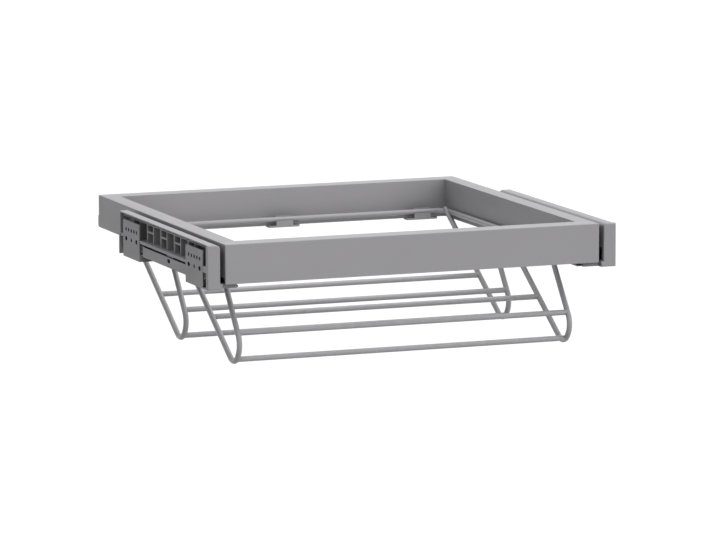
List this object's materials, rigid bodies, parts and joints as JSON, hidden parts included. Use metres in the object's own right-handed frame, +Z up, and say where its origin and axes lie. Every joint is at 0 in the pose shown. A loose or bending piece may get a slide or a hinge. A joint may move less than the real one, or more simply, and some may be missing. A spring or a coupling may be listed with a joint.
{
  "type": "basket drawer",
  "caption": "Pull-out drawer frame with hanging wire shoe racks, on concealed runners that screw between two cupboard walls.",
  "frame": {"origin": "on the left wall's face, at the middle of the front left bracket's lower row of holes", "axes": "+X runs across the opening to the right wall, +Y towards the back of the cupboard, +Z up"},
  "size_m": [0.564, 0.5015, 0.1621],
  "materials": {
    "frame_profile": "fine matt anodised grey",
    "coated_wire": "satin powder coat on steel wire",
    "clip_plastic": "fine-grained moulded grey",
    "cover_profile": "fine matt anodised grey",
    "cap_plastic": "fine-grained moulded grey",
    "insert_plastic": "fine-grained moulded grey",
    "bracket_steel": "grey coated pressed steel",
    "runner_steel": "zinc-plated rolled steel",
    "glide_plastic": "plain moulded bearing plastic",
    "screw_steel": "zinc-plated"
  },
  "bodies": {
    "wall_sides": {"cover_left": "cover_profile", "cover_right": "cover_profile", "front_bracket_left": "bracket_steel", "front_bracket_right": "bracket_steel", "front_cap_left": "cap_plastic", "front_cap_right": "cap_plastic", "insert_left": "insert_plastic", "insert_right": "insert_plastic", "rear_bracket_left": "bracket_steel", "rear_bracket_right": "bracket_steel", "rear_cap_left": "cap_plastic", "rear_cap_right": "cap_plastic", "tie_bar_left": "bracket_steel", "tie_bar_right": "bracket_steel", "track_left": "runner_steel", "track_right": "runner_steel"},
    "middle_left": {"middle_rail_left": "runner_steel", "glide_pads_left": "glide_plastic"},
    "middle_right": {"middle_rail_right": "runner_steel", "glide_pads_right": "glide_plastic"},
    "basket_drawer": {"clip_screws": "screw_steel", "drawer_rail_left": "runner_steel", "drawer_rail_right": "runner_steel", "front_catch_left": "cap_plastic", "front_catch_right": "cap_plastic", "front_clip_left": "clip_plastic", "front_clip_middle": "clip_plastic", "front_clip_right": "clip_plastic", "front_heel_wire": "coated_wire", "front_loop_left": "coated_wire", "front_loop_right": "coated_wire", "front_nose_wire": "coated_wire", "front_rail": "frame_profile", "front_toe_wire": "coated_wire", "rear_clip_left": "clip_plastic", "rear_clip_middle": "clip_plastic", "rear_clip_right": "clip_plastic", "rear_heel_wire": "coated_wire", "rear_loop_left": "coated_wire", "rear_loop_right": "coated_wire", "rear_nose_wire": "coated_wire", "rear_rail": "frame_profile", "rear_toe_wire": "coated_wire", "side_rail_left": "frame_profile", "side_rail_right": "frame_profile", "wire_ring": "coated_wire"}
  },
  "joints": [
    {"name": "drawer_slide", "type": "slide", "parent": "wall_sides", "child": "basket_drawer", "axis": [0, -1, 0], "range_m": [0, 0.31]},
    {"name": "middle_left_slide", "type": "slide", "parent": "wall_sides", "child": "middle_left", "axis": [0, -1, 0], "range_m": [0, 0.155]},
    {"name": "middle_right_slide", "type": "slide", "parent": "wall_sides", "child": "middle_right", "axis": [0, -1, 0], "range_m": [0, 0.155]}
  ],
  "couplings": [
    {"joint": "middle_left_slide", "follows": "drawer_slide", "ratio": 0.5},
    {"joint": "middle_right_slide", "follows": "drawer_slide", "ratio": 0.5}
  ]
}
